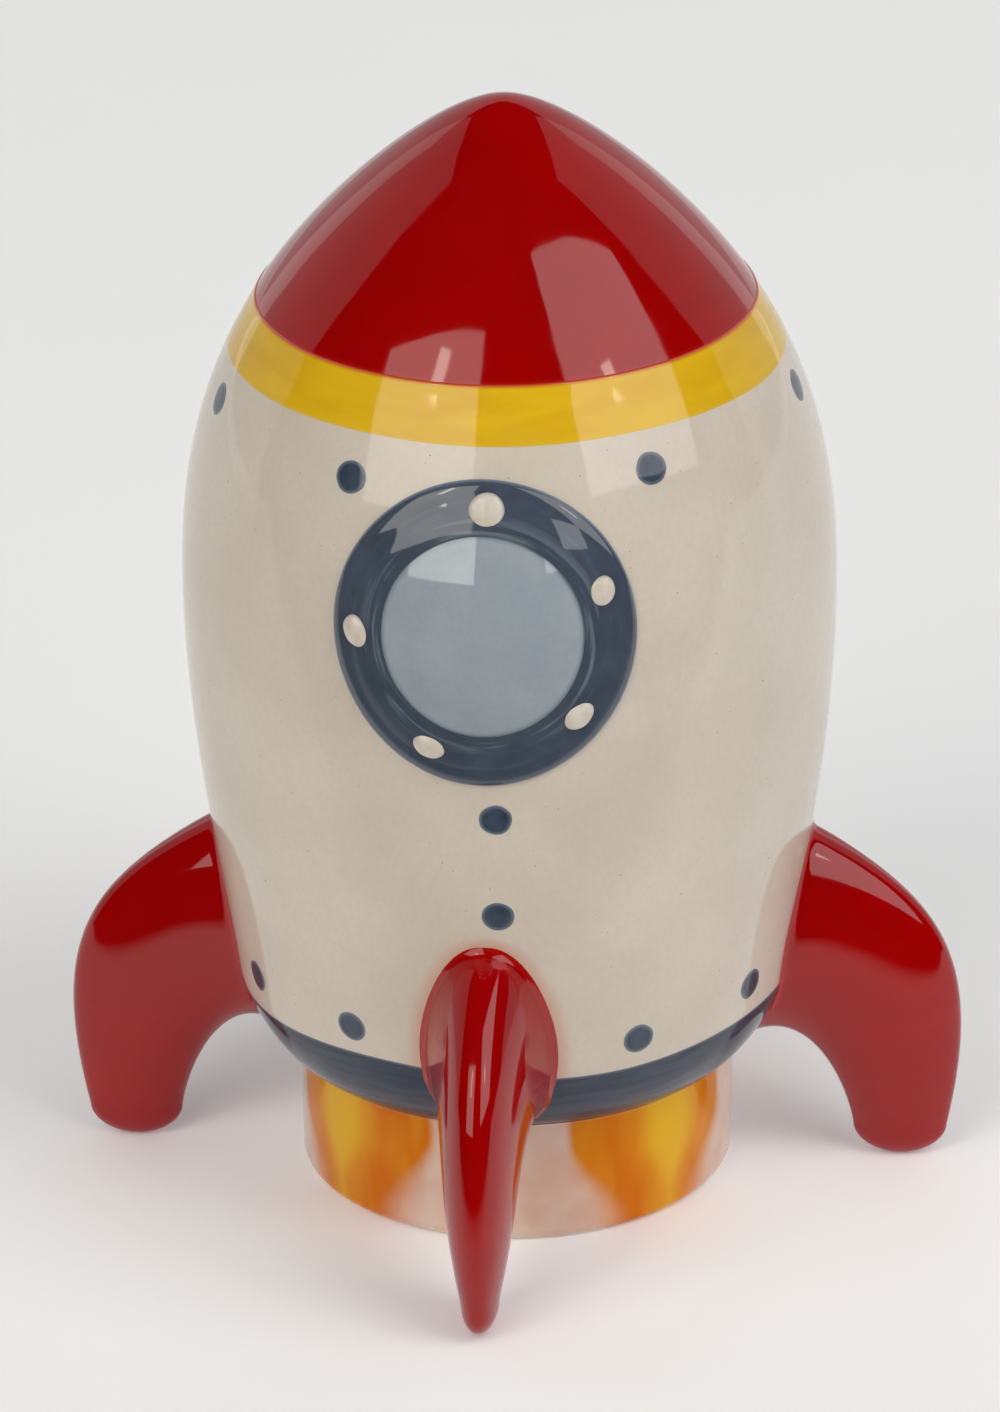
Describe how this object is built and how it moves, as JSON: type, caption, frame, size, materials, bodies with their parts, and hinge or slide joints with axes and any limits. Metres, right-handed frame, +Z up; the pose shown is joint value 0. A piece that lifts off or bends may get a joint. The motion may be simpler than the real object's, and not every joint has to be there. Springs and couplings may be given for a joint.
{
  "type": "ceramic rocket money bank",
  "caption": "Glazed ceramic money bank shaped as a space rocket, with a porthole, fins as feet, a coin slot in the back and a rubber stopper in the base.",
  "frame": {"origin": "centre of the resting plane, on the rocket's axis", "axes": "+Z up along the rocket's axis, the porthole and the front fin face -Y, +X to the viewer's right"},
  "size_m": [0.135, 0.135, 0.17],
  "materials": {
    "cream_glaze": "gloss",
    "red_glaze": "gloss",
    "yellow_glaze": "gloss",
    "slate_glaze": "gloss",
    "flame_lustre": "gloss",
    "flame_yellow": "gloss",
    "pane_glaze": "gloss",
    "biscuit": "matte",
    "stopper_rubber": "matte"
  },
  "bodies": {
    "bank": {"hull": "cream_glaze", "nose_cone": "red_glaze", "yellow_band": "yellow_glaze", "blue_band": "slate_glaze", "flame_skirt": "flame_lustre", "flame_cores": "flame_yellow", "base_floor": "biscuit", "porthole_ring": "slate_glaze", "porthole_pane": "pane_glaze", "porthole_rivets": "cream_glaze", "upper_dots": "slate_glaze", "lower_dots": "slate_glaze", "front_dots": "slate_glaze", "fin_front": "red_glaze", "fin_right": "red_glaze", "fin_back": "red_glaze", "fin_left": "red_glaze"},
    "stopper": {"stopper": "stopper_rubber"}
  },
  "joints": [
    {"name": "stopper_pull", "type": "slide", "parent": "bank", "child": "stopper", "axis": [0, 0, -1], "range_m": [0, 0.03]}
  ]
}
